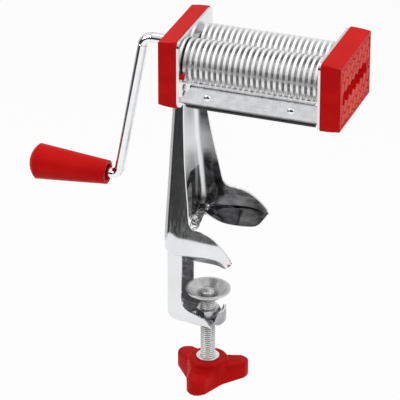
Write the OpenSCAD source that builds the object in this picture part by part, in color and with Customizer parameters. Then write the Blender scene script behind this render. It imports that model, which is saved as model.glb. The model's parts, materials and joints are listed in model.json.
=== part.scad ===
// Hand cranked pasta cutter on a pressed steel table clamp.
// Millimetres. Origin: the clamp screw's axis at the table plane (under the lands of the two ears).
// +X runs along the rollers away from the crank, +Y to the back, +Z up.

/* [Head] */
// Distance between the two roller axes
axis_gap = 25; // [24:0.5:26]
// Bottom of the head above the table plane
head_bottom = 109.7; // [105:0.1:114]
// Height of both roller axes above the bottom of the head
axis_rise = 26.5; // [25:0.1:28]
// Height of the head above the roller axes
head_over = 20.1; // [19:0.1:23]
// Depth of the head, front to back
head_depth = 64.2; // [60:0.2:68]
// Outer face of the left end plate
left_plate_x = -10.2; // [-12:0.1:-8]
// Distance between the outer faces of the two end plates
head_width = 95.8; // [90:0.2:100]
// Thickness of an end plate
plate_t = 1.8; // [1.5:0.1:2.5]

/* [Rollers] */
// Number of cutting rings on a roller
ring_count = 24; // [20:1:26]
// Side gap between two rings that pass each other
ring_clear = 0.15; // [0.08:0.01:0.3]
// Gap between the front roller's first ring and the left end plate
ring_gap_l = 0.93; // [0.9:0.01:1.5]
// Gap between the rear roller's last ring and the right end plate
ring_gap_r = 0.7; // [0.6:0.01:1.5]
// Radius of a ring
ring_r = 15; // [14:0.1:15.2]
// Radius of the core between the rings
core_r = 9; // [8:0.1:9.5]
// Radius of the shafts and of the crank rod
shaft_r = 3.5; // [3:0.1:4]
// Running clearance of a shaft, on the radius
run_gap = 0.04; // [0.02:0.01:0.1]

/* [Caps] */
// Thickness of the left cap along X
left_cap_t = 12.4; // [11:0.1:14]
// Thickness of the right cap along X
right_cap_t = 13.2; // [12:0.1:16]
// Wall of a cap
cap_wall = 2.2; // [1.8:0.1:3]
// How far a cap's outer face is set in at the top and the bottom
cap_draft_z = 1.7; // [0:0.1:3]
// How far a cap's outer face is set in at the front and the back
cap_draft_y = 0.7; // [0:0.1:3]
// Border round the sunk panel of a cap's outer face
panel_border = 1.9; // [1:0.1:6]
// Depth of that panel
panel_depth = 0.5; // [0.2:0.1:0.8]
// Radius of the snap pegs
peg_r = 1.9; // [1.7:0.1:2.1]

/* [Crank] */
// X of the corner between the stub and the arm
crank_x1 = -48.3; // [-55:0.1:-45]
// X of the corner between the arm and the handle's rod
crank_x2 = -67.4; // [-75:0.1:-62]
// Height of the grip's axis
grip_z = 32.9; // [28:0.1:38]
// X of the grip's small end
grip_x = -75.3; // [-80:0.1:-72]
// Length of the grip
grip_len = 55.2; // [50:0.1:60]
// Radius of the grip's small end
grip_r0 = 8.05; // [7:0.05:9]
// Largest radius of the grip
grip_r1 = 12.1; // [10:0.05:13]

/* [Stand] */
// Thickness of the pressed sheet
sheet = 1.6; // [1.2:0.1:2]
// Outer face of the column's web
web_x = -18.8; // [-20:0.1:-16]
// Outer face of the jaw spine's web
spine_x = -24.6; // [-26:0.1:-20]
// Half width of the column at the crease of the ears, at the web
ear_half = 35.4; // [34:0.1:37]
// How far the flanges open outwards, per length along X
flare = 0.06; // [0:0.01:0.1]
// Height of the crease of the ears
crease_z = 9.1; // [8:0.1:11]
// Half width of the column at the reference height below the head
neck_half = 19; // [17:0.5:21]
// Half width of the jaw
jaw_half = 13; // [12:0.5:15]
// Underside of the lower jaw
jaw_bottom = -56.3; // [-60:0.1:-52]

/* [Clamp] */
// Radius of the clamp screw
screw_r = 5; // [4:0.5:6]
// Radius of the clamp disc
disc_r = 15.1; // [13:0.1:16]
// Height of the disc's rim in the rest pose
disc_z = -34.1; // [-37:0.1:-25]
// Height of the top of the knob's hub in the rest pose
hub_z = -86.8; // [-90:0.1:-84]
// Radius and height of the knob's hub
hub_r = 11.2; // [10:0.1:13]
hub_h = 15; // [12:0.5:18]
// Radius to the end of a knob lobe
lobe_tip = 25.8; // [24:0.1:30]
// Half the width of a lobe's end
lobe_half = 5.6; // [5:0.1:8]
// Height of the lobes
lobe_h = 9.8; // [8:0.2:13]
// How far the lobes reach below the hub
lobe_drop = 1; // [0:0.5:3]

/* [Output] */
// Piece to draw, or all

/* [Hidden] */
$fn = 64;
steel = [0.80, 0.81, 0.83];
red = [0.75, 0.06, 0.07];
brass = [0.80, 0.65, 0.35];
ay = axis_gap / 2;
axis_z = head_bottom + axis_rise;
head_height = axis_rise + head_over;
head_top = head_bottom + head_height;
hd = head_depth / 2;
lp_in = left_plate_x + plate_t;
rp_out = left_plate_x + head_width;
rp_in = rp_out - plate_t;
// The rings of both rollers fill the width between the plates, the rear ones half a pitch further on
ring_pitch = (rp_in - lp_in - ring_gap_l - ring_gap_r + ring_clear) / ring_count;
half_pitch = ring_pitch / 2;
ring_w = half_pitch - ring_clear;
ring_x0 = lp_in + ring_gap_l + ring_w / 2;
core_x0 = lp_in + 0.9;
core_x1 = rp_in - 0.6;
// Bearing bushes: flange outside the plate, nose just proud of its inside
bush_r = 5.5;
bush_flange_r = 7;
bush_flange_t = 1.2;
bush_nose = 0.3;
// Gears on the right
gear_teeth = 20;
gear_m = axis_gap / gear_teeth;
gear_x = rp_out + bush_flange_t + 0.2;
gear_w = 6;
clip_t = 0.9;
clip_groove_r = shaft_r - 0.5;
clip_r = 5.6;
shaft_end_x = gear_x + gear_w + 2.6;
left_end_x = left_plate_x - bush_flange_t - 2.6;
// Snap pegs
peg_y = hd - 2.9;
peg_z = axis_z - 4.3;
// Rails
rail_y = hd - 2.7;
rail_t = 1.2;
rail_x0 = lp_in + 5.6;
rail_x1 = rp_in - 1.2;
rail_top = axis_z - 9.9;
hem_z = axis_z - 22.9;
hem_r = 1.6;
tab_z0 = axis_z - 21.5;
tab_z1 = axis_z - 18.9;
comb_t = 0.8;
comb_x0 = rail_x0 + 1;
comb_x1 = rail_x1 - 1;
// A comb's tooth leaves this much room on both sides in the groove between two rings
comb_clear = 0.32;
tooth_half = (ring_pitch - ring_w) / 2 - comb_clear;
rivet_z = axis_z - 15.9;
rivet_xs = [rail_x0 + 13.2, rail_x1 - 16.3];
// Stand: the column leans in above the crease, with a blend of large radius between
blend_r = 40;
taper_top = head_bottom - 8.6;
taper_bot = crease_z + 3.7;
taper = (ear_half - neck_half) / (taper_top - taper_bot);
taper_deg = atan(taper);
stand_top = head_bottom + 15;
bend_r = 5.5;
// Where two pieces of one sheet run into each other, one is this much thinner on each face
seam = 0.03;
flange_x = -14.2;
ear_tip = 29.5;
tab_y = 16;
tab_w = 10;
stand_rivet_zs = [head_bottom + 6.8, head_bottom + 11.4];
stand_rivet_y = 21.5;
// Nose of the lower jaw
nose_r = 12.4;
nose_h = 7;
// Grip
grip_bore_end = 48;
clip_s = 40;
// Disc and screw
disc_t = 1.5;
disc_dish = 5;
spigot_r = 3.4;

// A prism from an outline in X and Z, from y0 to y1
module xz(y0, y1, pts) {
  translate([0, y1, 0]) rotate([90, 0, 0]) linear_extrude(y1 - y0) polygon(pts);
}

// A prism along X from an outline in Y and Z drawn by the child
module yz(x0, x1) {
  translate([x0, 0, 0]) rotate([90, 0, 90]) linear_extrude(x1 - x0) children();
}

// A round bar along X
module xbar(x0, x1, y, z, r) {
  translate([x0, y, z]) rotate([0, 90, 0]) cylinder(r = r, h = x1 - x0);
}

// A round bar along Y
module ybar(y0, y1, x, z, r) {
  translate([x, y1, z]) rotate([90, 0, 0]) cylinder(r = r, h = y1 - y0);
}

// A box from one corner to the other
module box(a, b) {
  translate(a) cube([b[0] - a[0], b[1] - a[1], b[2] - a[2]]);
}

// A rectangle with round corners, in Y and Z
module round_rect(y0, y1, z0, z1, r) {
  union() {
    translate([y0 + r, z0]) square([y1 - y0 - 2 * r, z1 - z0]);
    translate([y0, z0 + r]) square([y1 - y0, z1 - z0 - 2 * r]);
    for (y = [y0 + r, y1 - r], z = [z0 + r, z1 - r]) translate([y, z]) circle(r = r);
  }
}

// Cuts the corners of an open line of points
function soft(p) = concat([p[0]],
  [for (i = [0 : len(p) - 2], q = [0.25, 0.75]) p[i] * (1 - q) + p[i + 1] * q], [p[len(p) - 1]]);

// Free edge of a column flange and of the ear below it, from the top down
ear_edge = concat([[-10.2, stand_top + 1]], soft([
  [-10.2, 103.7], [-8.9, 88], [-7.1, 69], [-4.5, 51], [-3, 42], [-1.9, 32.5], [-0.9, 28.8], [0.8, 26.8],
  [4, 25.7], [8.2, 25.4], [13.2, 24.1], [18.5, 21.2], [24.2, 15.8], [28.2, 10.9], [ear_tip, 7.4], [ear_tip, 6]]));

// Lower facet of an ear: X, Y of the crease, then Y and Z of the bottom edge
function crease_y(x) = ear_half + flare * (x - web_x);
facet = [[web_x, 30.2, 28, 6.7], [-15.4, 33.5, 28.1, 6.2], [-13.2, 35.2, 28.2, 5.3],
         [-10.5, crease_y(-10.5), 28.2, 4], [-7, crease_y(-7), 28.1, 2.5], [-1, crease_y(-1), 28, 0.6],
         [4, crease_y(4), 27.9, -0.9], [12, crease_y(12), 27.9, -0.9], [17, crease_y(17), 28.8, -0.9],
         [21, crease_y(21), 30.5, -0.9], [23.7, crease_y(23.7), 32.4, 0], [26.6, crease_y(26.6), 34.8, 3.6],
         [ear_tip, crease_y(ear_tip), 37.3, 7.4]];

// Section of one side of the column: a strip of the web, the bend and the flange, drawn thinner by d on each
// face, with Y from the outer corner
module side_section(d) {
  k = sqrt(1 + flare * flare);
  cy = flare * bend_r - bend_r * k;
  cx = web_x + bend_r;
  x0 = web_x + d;
  x1 = web_x + sheet - d;
  yo = -d * k;
  yi = (d - sheet) * k;
  ro = bend_r - d;
  difference() {
    union() {
      polygon([[x0, -8], [x0, yo], [32, flare * (32 - web_x) + yo], [32, flare * (32 - web_x) + yi],
               [x1, flare * sheet + yi], [x1, -8]]);
      difference() {
        translate([web_x + sheet / 2, cy]) square([bend_r - sheet / 2, -cy - sheet / 2]);
        translate([cx, cy]) circle(r = bend_r - sheet + d);
      }
    }
    difference() {
      polygon([[web_x - 1, cy], [cx, cy], [cx - ro * flare / k, cy + ro / k],
               [cx - (ro + 1) * flare / k, cy + (ro + 1) / k], [web_x - 1, 1.5]]);
      translate([cx, cy]) circle(r = ro);
    }
  }
}

// One side of the column above the crease: the blend and the leaning part, cut to the free edge
module column_side() {
  difference() {
    translate([0, ear_half - blend_r, crease_z]) union() {
      rotate([90, 0, 90]) rotate_extrude(angle = taper_deg + 0.5) translate([blend_r, 0]) mirror([1, -1, 0])
        side_section(seam - 0.01);
      rotate([taper_deg, 0, 0]) translate([0, blend_r, 0]) linear_extrude(150) side_section(0);
    }
    xz(-1, 60, concat(ear_edge, [[60, 6], [60, stand_top + 1]]));
    box([-60, -90, stand_top], [60, 90, 400]);
  }
}

// Lower facet of the ear on the +Y side, with a flat land on the table
module ear_facet() {
  n = len(facet);
  w = 2.1;
  pts = [for (f = facet) each [[f[0], f[1], crease_z], [f[0], f[2], f[3]], [f[0], f[2] - w, f[3]],
                               [f[0], f[1] - w, crease_z]]];
  sides = [for (i = [0 : n - 2], k = [0 : 3])
    let (a = 4 * i + k, b = 4 * i + (k + 1) % 4)
      each [[a, b, b + 4], [a, b + 4, a + 4]]];
  difference() {
    polyhedron(points = pts,
               faces = concat([[3, 2, 1, 0]], sides, [[4 * n - 4, 4 * n - 3, 4 * n - 2, 4 * n - 1]]));
    box([-30, 0, -5], [60, 60, 0]);
  }
}

// Lip of the shoulder on the +Y side, between the ear and the jaw
module shoulder_lip() {
  low = [[web_x + 0.1, 12, 1], [-12.2, 12, -0.6], [-12.2, 28.7, 4.9], [web_x + 0.1, 28.7, 6.9]];
  polyhedron(points = concat(low, [for (p = low) [p[0], p[1], p[2] + 1.7]]),
             faces = [[0, 1, 2, 3], [7, 6, 5, 4], [4, 5, 1, 0], [5, 6, 2, 1], [6, 7, 3, 2], [7, 4, 0, 3]]);
}

// Flat web of the column down to the shoulders
module column_web() {
  yt = neck_half - taper * (stand_top - taper_top) - 6.5;
  yc = ear_half - 6.5;
  yz(web_x + seam, web_x + sheet - seam) polygon([
    [-yt, stand_top - seam], [-yc + 0.3, crease_z + 2], [-yc, crease_z], [-28, 7.3], [-12.5, 1.4],
    [12.5, 1.4], [28, 7.3], [yc, crease_z], [yc - 0.3, crease_z + 2], [yt, stand_top - seam]]);
}

// Wedge pressed out of the column's web that leads down to the jaw's spine, drawn smaller by d
module rib_wedge(d, x1) {
  intersection() {
    xz(-40, 40, [[web_x + 0.4 + d, 50], [spine_x + d, 7.7], [spine_x + d, 2], [x1, 2], [x1, 50]]);
    yz(spine_x - 1, x1 + 1) polygon([[-22 + d, 56.3], [-jaw_half + d, 5.7], [-jaw_half + d, 1],
                                     [jaw_half - d, 1], [jaw_half - d, 5.7], [22 - d, 56.3]]);
  }
}

// Side plate of the jaw's channel on the +Y side, with the lower jaw's sloping wall
module jaw_side() {
  xz(jaw_half - sheet, jaw_half,
     [[spine_x, 4], [flange_x, 4], [flange_x, -38.3], [-13.8, -41.3], [-12.8, -43.9], [-10.9, -45.9], [-8, -47],
      [-1.6, -48.6], [2, -50.5], [4.6, -52.9], [6.2, jaw_bottom + 1.5], [6.4, jaw_bottom],
      [spine_x + 7, jaw_bottom], [spine_x + 3.5, jaw_bottom + 0.94], [spine_x + 0.94, jaw_bottom + 3.5],
      [spine_x, jaw_bottom + 7]]);
}

// Web and floor of the jaw, bent round at the bottom corner
module jaw_band() {
  rc = 7;
  cx = spine_x + rc;
  cz = jaw_bottom + rc;
  box([spine_x, -jaw_half, cz], [spine_x + sheet, jaw_half, 4]);
  box([cx, -jaw_half, jaw_bottom], [6.4, jaw_half, jaw_bottom + sheet]);
  intersection() {
    difference() {
      ybar(-jaw_half, jaw_half, cx, cz, rc);
      ybar(-jaw_half - 1, jaw_half + 1, cx, cz, rc - sheet);
    }
    box([spine_x - 1, -jaw_half, jaw_bottom - 1], [cx, jaw_half, cz]);
  }
}

// Round nose of the lower jaw with the lip turned up there
module jaw_nose() {
  difference() {
    translate([0, 0, jaw_bottom]) cylinder(r = nose_r, h = nose_h);
    translate([0, 0, jaw_bottom + sheet]) cylinder(r = nose_r - sheet, h = nose_h);
    box([-20, -20, jaw_bottom - 1], [5, 20, jaw_bottom + nose_h + 1]);
    // The lip ends at both sides
    translate([0, 0, jaw_bottom + sheet]) linear_extrude(nose_h) for (s = [-1, 1])
      polygon([[0, 0], [30 * cos(48), s * 30 * sin(48)], [0, s * 30]]);
  }
}

module clamp_stand() {
  color(steel) difference() {
    union() {
      difference() {
        union() {
          column_web();
          column_side();
          mirror([0, 1, 0]) column_side();
          ear_facet();
          mirror([0, 1, 0]) ear_facet();
          shoulder_lip();
          mirror([0, 1, 0]) shoulder_lip();
          rib_wedge(seam, web_x + sheet / 2);
        }
        rib_wedge(sheet - seam, web_x + 12);
      }
      jaw_side();
      mirror([0, 1, 0]) jaw_side();
      jaw_band();
      jaw_nose();
      // Feet that are riveted to the end plate
      for (s = [-1, 1]) {
        y0 = s > 0 ? tab_y - 2 : -tab_y - tab_w;
        box([left_plate_x - sheet, y0, head_bottom + 4.3], [left_plate_x, y0 + tab_w + 2, head_bottom + 13.8]);
      }
    }
    // Screw hole in the floor, hole in the spine's web, rivet holes
    translate([0, 0, jaw_bottom - 1]) cylinder(r = 5.6, h = 4);
    translate([spine_x - 1, 0, -18.3]) rotate([0, 90, 0]) cylinder(r = 6, h = 4);
    for (y = [-stand_rivet_y, stand_rivet_y], z = stand_rivet_zs)
      xbar(left_plate_x - 4, left_plate_x + 1, y, z, 1.6);
  }
}

module jaw_nut() {
  color(steel) difference() {
    translate([0, 0, jaw_bottom + sheet]) rotate([0, 0, 30]) cylinder(r = 7 / cos(30), h = 6, $fn = 6);
    translate([0, 0, jaw_bottom]) cylinder(r = screw_r + run_gap, h = 10);
  }
}

// An end plate from x0 to x1 with its bearing, peg and rail holes
module end_plate(x0, x1) {
  difference() {
    yz(x0, x1) round_rect(-hd + 0.3, hd - 0.3, head_bottom + 0.3, head_top - 0.3, 4);
    for (y = [-ay, ay]) xbar(x0 - 1, x1 + 1, y, axis_z, bush_r);
    for (y = [-peg_y, peg_y]) xbar(x0 - 1, x1 + 1, y, peg_z, peg_r);
    for (s = [-1, 1]) {
      y0 = s > 0 ? rail_y : -rail_y - rail_t;
      box([x0 - 1, y0, tab_z0], [x1 + 1, y0 + rail_t, tab_z1]);
    }
  }
}

module left_end_plate() {
  color(steel) difference() {
    end_plate(left_plate_x, lp_in);
    for (y = [-stand_rivet_y, stand_rivet_y], z = stand_rivet_zs)
      xbar(left_plate_x - 1, lp_in + 1, y, z, 1.6);
  }
}

module right_end_plate() {
  color(steel) end_plate(rp_in, rp_out);
}

// A cap between its open side xo and its outer face xe
module cap_shell(xo, xe) {
  s = xe > xo ? 1 : -1;
  xa = min(xo, xe);
  xb = max(xo, xe);
  difference() {
    intersection() {
      xz(-hd, hd, [[xo, head_bottom], [xe, head_bottom + cap_draft_z],
                   [xe, head_top - cap_draft_z], [xo, head_top]]);
      translate([0, 0, head_bottom - 1]) linear_extrude(head_height + 2)
        polygon([[xo, -hd], [xe, -hd + cap_draft_y], [xe, hd - cap_draft_y], [xo, hd]]);
      yz(xa - 1, xb + 1) round_rect(-hd, hd, head_bottom, head_top, 2.5);
    }
    // Hollow
    box([s > 0 ? xo - 1 : xe + cap_wall, -hd + cap_wall + cap_draft_y, head_bottom + cap_wall + cap_draft_z],
        [s > 0 ? xe - cap_wall : xo + 1, hd - cap_wall - cap_draft_y, head_top - cap_wall - cap_draft_z]);
    // Shallow panel in the outer face
    yz(s > 0 ? xe - panel_depth : xe - 1, s > 0 ? xe + 1 : xe + panel_depth)
      round_rect(-hd + cap_draft_y + panel_border, hd - cap_draft_y - panel_border,
                 head_bottom + cap_draft_z + panel_border, head_top - cap_draft_z - panel_border, 1.5);
  }
  for (y = [-peg_y, peg_y])
    xbar(s > 0 ? rp_in : xe + cap_wall - 0.5, s > 0 ? xe - cap_wall + 0.5 : lp_in + 2.6,
         y, peg_z, peg_r);
}

module left_cap() {
  color(red) difference() {
    cap_shell(left_plate_x, left_plate_x - left_cap_t);
    xbar(left_plate_x - left_cap_t - 1, left_plate_x, ay, axis_z, shaft_r + 0.6);
    // Way in for the stand's top
    box([web_x - 0.6, -18.4, head_bottom - 1], [left_plate_x + 1, 18.4, head_bottom + 5]);
  }
}

module right_cap() {
  color(red) cap_shell(rp_out, rp_out + right_cap_t);
}

// The rail of the front side: face, tabs into the plates and the rolled hem
module rail() {
  union() {
    xz(-rail_y - rail_t, -rail_y,
       [[rail_x0 + 2.2, rail_top], [lp_in + 2, tab_z1 + 1], [lp_in, tab_z1], [left_plate_x, tab_z1],
        [left_plate_x, tab_z0], [lp_in, tab_z0], [lp_in + 2.4, tab_z0 - 0.4], [rail_x0, hem_z], [rail_x1, hem_z],
        [rp_in, tab_z0], [rp_out, tab_z0], [rp_out, tab_z1], [rp_in, tab_z1], [rp_in, rail_top]]);
    xbar(rail_x0, rail_x1, -rail_y - rail_t / 2, hem_z, hem_r);
    translate([rail_x0, -rail_y - rail_t / 2, hem_z]) sphere(r = hem_r);
  }
}

module rail_holes() {
  for (x = rivet_xs) ybar(-rail_y - 5, -rail_y + 5, x, rivet_z, 1.2);
}

module front_rail() {
  color(steel) difference() {
    rail();
    rail_holes();
  }
}

module rear_rail() {
  color(steel) mirror([0, 1, 0]) difference() {
    rail();
    rail_holes();
  }
}

// The stripper comb of the front side, its first tooth at x0: strip, sloping plate and teeth
module comb(x0) {
  y0 = -rail_y;
  y1 = -rail_y + comb_t;
  difference() {
    union() {
      yz(comb_x0, comb_x1) polygon([
        [y0, axis_z - 20.5], [y1, axis_z - 20.5], [y1, axis_z - 10.3], [y0 + 3.8, axis_z - 8.52],
        [y0 + 3.4, axis_z - 7.7], [y0, axis_z - 9.6]]);
      for (i = [1 : ring_count - 2])
        yz(x0 + i * ring_pitch - tooth_half, x0 + i * ring_pitch + tooth_half)
          polygon([[y0 + 2.4, axis_z - 9.35], [y0 + 8.7, axis_z - 5.6], [y0 + 8.3, axis_z - 4.9],
                   [y0 + 2, axis_z - 8.47]]);
    }
    rail_holes();
  }
}

module front_comb() {
  color(steel) comb(ring_x0 + half_pitch);
}

module rear_comb() {
  color(steel) mirror([0, 1, 0]) comb(ring_x0 + ring_pitch);
}

// Round head rivet through a rail and its comb
module rail_rivet(x) {
  y0 = -rail_y - rail_t;
  ybar(y0, -rail_y + comb_t, x, rivet_z, 1.2);
  ybar(-rail_y + comb_t, -rail_y + comb_t + 0.6, x, rivet_z, 2);
  intersection() {
    translate([x, y0 + 1.2, rivet_z]) sphere(r = 2.4);
    box([x - 4, y0 - 3, rivet_z - 4], [x + 4, y0, rivet_z + 4]);
  }
}

module rail_rivets() {
  color(steel) for (x = rivet_xs) {
    rail_rivet(x);
    mirror([0, 1, 0]) rail_rivet(x);
  }
}

// A flanged bush with its flange on the side of s
module bush(x_out, x_in, s, y) {
  xa = min(x_out, x_in);
  xb = max(x_out, x_in);
  difference() {
    union() {
      xbar(s < 0 ? xa : xa - bush_nose, s < 0 ? xb + bush_nose : xb, y, axis_z, bush_r);
      xbar(s < 0 ? x_out - bush_flange_t : x_out, s < 0 ? x_out : x_out + bush_flange_t,
           y, axis_z, bush_flange_r);
    }
    xbar(xa - 5, xb + 5, y, axis_z, shaft_r + run_gap);
  }
}

module bearing_bushes() {
  color(brass) for (y = [-ay, ay]) {
    bush(left_plate_x, lp_in, -1, y);
    bush(rp_out, rp_in, 1, y);
  }
}

module stand_rivets() {
  color(steel) for (y = [-stand_rivet_y, stand_rivet_y], z = stand_rivet_zs) {
    xbar(left_plate_x - sheet, lp_in, y, z, 1.6);
    xbar(left_plate_x - sheet - 1.2, left_plate_x - sheet, y, z, 2.1);
    xbar(lp_in, lp_in + 0.7, y, z, 2.1);
  }
}

// Bent part of the crank rod, an arc in X and Z that runs a little into the straight parts
module rod_bend(cx, cz, r, a0, a1) {
  translate([cx, ay, cz]) rotate([90, 0, 0]) rotate([0, 0, a0 - 0.5])
    rotate_extrude(angle = a1 - a0 + 1) translate([r, 0]) circle(r = shaft_r - 0.02);
}

module crank_rod() {
  dx = crank_x2 - crank_x1;
  dz = grip_z - axis_z;
  len = sqrt(dx * dx + dz * dz);
  turn = acos(-dx / len);
  ra = 7;
  rb = 6;
  ta = ra * tan(turn / 2);
  tb = rb * tan(turn / 2);
  ux = dx / len;
  uz = dz / len;
  color(steel) difference() {
    union() {
      xbar(crank_x1 + ta, core_x0 + 15, ay, axis_z, shaft_r);
      rod_bend(crank_x1 + ta, axis_z - ra, ra, 90, 90 + turn);
      translate([crank_x1 + ux * ta, ay, axis_z + uz * ta]) rotate([0, atan2(ux, uz), 0])
        cylinder(r = shaft_r, h = len - ta - tb);
      rod_bend(crank_x2 - tb, grip_z + rb, rb, -90, -90 + turn);
      difference() {
        xbar(grip_x - grip_bore_end + 1.5, crank_x2 - tb, ay, grip_z, shaft_r);
        difference() {
          xbar(grip_x - clip_s - 0.5, grip_x - clip_s + 0.5, ay, grip_z, shaft_r + 1);
          xbar(grip_x - clip_s - 1, grip_x - clip_s + 1, ay, grip_z, clip_groove_r);
        }
      }
    }
    translate([core_x0 + 7.5, ay, axis_z - 12]) cylinder(r = 1.5, h = 24);
  }
}

module crank_pin() {
  color(steel) translate([core_x0 + 7.5, ay, axis_z - 8.7]) cylinder(r = 1.5, h = 17.4);
}

// Outline of a roller, radius against X
function roller_outline(x0) = concat(
  [[0, core_x0], [core_r, core_x0]],
  [for (i = [0 : ring_count - 1], p = [[core_r, -1], [ring_r, -1], [ring_r, 1], [core_r, 1]])
     [p[0], x0 + i * ring_pitch + p[1] * ring_w / 2]],
  [[core_r, core_x1], [0, core_x1]]);

module roller_body(x0, y) {
  translate([0, y, axis_z]) rotate([0, 90, 0]) rotate_extrude() polygon(roller_outline(x0));
}

// Journal with a groove for its circlip, from xa to xb with the groove at g
module journal(xa, xb, y, g) {
  difference() {
    xbar(xa, xb, y, axis_z, shaft_r);
    difference() {
      xbar(g, g + clip_t, y, axis_z, shaft_r + 1);
      xbar(g - 1, g + clip_t + 1, y, axis_z, clip_groove_r);
    }
  }
}

module rear_roller() {
  color(steel) difference() {
    union() {
      roller_body(ring_x0 + half_pitch, ay);
      journal(core_x1 - 1, shaft_end_x, ay, gear_x + gear_w + 0.2);
    }
    xbar(core_x0 - 1, core_x0 + 15, ay, axis_z, shaft_r);
    translate([core_x0 + 7.5, ay, axis_z - 8.7]) cylinder(r = 1.5, h = 17.4);
  }
}

module front_roller() {
  color(steel) union() {
    roller_body(ring_x0, -ay);
    journal(core_x1 - 1, shaft_end_x, -ay, gear_x + gear_w + 0.2);
    journal(left_end_x, core_x0 + 1, -ay, left_plate_x - bush_flange_t - 0.3 - clip_t);
  }
}

// Involute tooth outline: roll angle against radius
function inv_deg(rb, r) = sqrt(pow(r / rb, 2) - 1) * 180 / PI - acos(rb / r);
function flank(rb, rp, half, r) = half + inv_deg(rb, rp) - inv_deg(rb, max(r, rb));

module gear_outline(shift) {
  rp = gear_m * gear_teeth / 2;
  rb = rp * cos(20);
  ro = rp + 0.9 * gear_m;
  rr = rp - 1.25 * gear_m;
  half = 90 / gear_teeth - 0.75;
  radii = [rr, rb, rb + (ro - rb) * 0.35, rb + (ro - rb) * 0.7, ro];
  polygon([for (k = [0 : gear_teeth - 1])
    let (a = shift + k * 360 / gear_teeth)
      for (p = concat([for (i = [0 : 4]) [radii[i], -flank(rb, rp, half, radii[i])]],
                      [for (i = [4 : -1 : 0]) [radii[i], flank(rb, rp, half, radii[i])]]))
        [p[0] * cos(a + p[1]), p[0] * sin(a + p[1])]]);
}

module gear(y, shift) {
  difference() {
    translate([0, y, axis_z]) yz(gear_x, gear_x + gear_w) gear_outline(shift);
    xbar(gear_x - 1, gear_x + gear_w + 1, y, axis_z, shaft_r);
  }
}

module rear_gear() {
  color(brass) gear(ay, 0);
}

module front_gear() {
  color(brass) gear(-ay, 180 / gear_teeth);
}

// Open retaining ring from x to x + clip_t
module circlip(x, y, z, r0) {
  difference() {
    xbar(x, x + clip_t, y, z, clip_r);
    xbar(x - 1, x + clip_t + 1, y, z, r0);
    box([x - 1, y - 1.6, z + r0 / 2], [x + clip_t + 1, y + 1.6, z + clip_r + 1]);
  }
}

module rear_circlip() {
  color(steel) circlip(gear_x + gear_w + 0.2, ay, axis_z, clip_groove_r);
}

module front_circlips() {
  color(steel) {
    circlip(gear_x + gear_w + 0.2, -ay, axis_z, clip_groove_r);
    circlip(left_plate_x - bush_flange_t - 0.3 - clip_t, -ay, axis_z, clip_groove_r);
  }
}

// Radius of the grip at the distance s from its small end: a cone, then a shallow round end
dome = 5.6;
dome_r = (grip_r1 * grip_r1 + dome * dome) / (2 * dome);
function grip_at(s) = s < grip_len - dome
  ? grip_r0 + (grip_r1 - grip_r0) * s / (grip_len - dome)
  : max(0.8, sqrt(max(0, dome_r * dome_r - pow(s - grip_len + dome_r, 2))));

module crank_grip() {
  steps = concat([0, grip_len - dome],
                 [for (i = [1 : 8]) grip_len - dome + dome * sin(90 * i / 8)]);
  color(red) difference() {
    translate([grip_x, ay, grip_z]) rotate([0, -90, 0]) rotate_extrude()
      polygon(concat([[0, 0]], [for (s = steps) [grip_at(s), s]], [[0, grip_len]]));
    xbar(grip_x - grip_bore_end, grip_x + 1, ay, grip_z, shaft_r + run_gap);
    xbar(grip_x - 5, grip_x + 1, ay, grip_z, 5.8);
    xbar(grip_x - clip_s - 0.9, grip_x - clip_s + 0.9, ay, grip_z, 5);
  }
}

module grip_clip() {
  color(steel) difference() {
    xbar(grip_x - clip_s - 0.5, grip_x - clip_s + 0.5, ay, grip_z, 4.5);
    xbar(grip_x - clip_s - 1, grip_x - clip_s + 1, ay, grip_z, clip_groove_r);
    box([grip_x - clip_s - 1, ay - 1, grip_z + 1.5], [grip_x - clip_s + 1, ay + 1, grip_z + 6]);
  }
}

module clamp_disc() {
  zb = disc_z - disc_dish;
  color(steel) rotate_extrude() polygon([
    [spigot_r + run_gap, zb - disc_t], [6.4, zb - disc_t], [9.4, zb - disc_t + 1], [disc_r - 1.5, disc_z - 2],
    [disc_r, disc_z - 1.4], [disc_r, disc_z], [disc_r - 1.8, disc_z], [8.8, zb + 0.9], [6.2, zb],
    [spigot_r + run_gap, zb]]);
}

module clamp_screw() {
  top = disc_z - disc_dish - disc_t - 0.3;
  color(steel) union() {
    translate([0, 0, hub_z - 9]) cylinder(r = screw_r, h = top - hub_z + 9);
    translate([0, 0, top - 1]) cylinder(r = spigot_r, h = 1 + disc_t + 0.6);
  }
}

module screw_button() {
  z0 = disc_z - disc_dish + 0.3;
  color(steel) translate([0, 0, z0]) intersection() {
    translate([0, 0, -1.9]) sphere(r = 6.2);
    cylinder(r = 4.8, h = 5);
  }
}

// Corners of the knob at the height z: both corners of each lobe's end, then the valley at the radius r
function knob_ring(z, r) = [for (a = [30, 150, 270])
  for (p = [[lobe_tip, -lobe_half, 0], [lobe_tip, lobe_half, 0], [r, 0, 60]])
    [p[0] * cos(a + p[2]) - p[1] * sin(a), p[0] * sin(a + p[2]) + p[1] * cos(a), z]];

// The bottom edges run straight from lobe to lobe, the top edges run in to the hub
module tri_knob() {
  z0 = hub_z - hub_h - lobe_drop;
  side = lobe_tip / 2 + lobe_half * sin(60);
  sides = [for (i = [0 : 8]) let (j = (i + 1) % 9) each [[i, 9 + i, 9 + j], [i, 9 + j, j]]];
  color(red) difference() {
    union() {
      translate([0, 0, hub_z - hub_h]) cylinder(r = hub_r, h = hub_h);
      polyhedron(points = concat(knob_ring(z0, side), knob_ring(z0 + lobe_h, hub_r - 1)),
                 faces = concat([[for (i = [0 : 8]) i]], sides, [[for (i = [8 : -1 : 0]) 9 + i]]));
    }
    translate([0, 0, hub_z - 9]) cylinder(r = screw_r, h = 20);
  }
}

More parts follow.
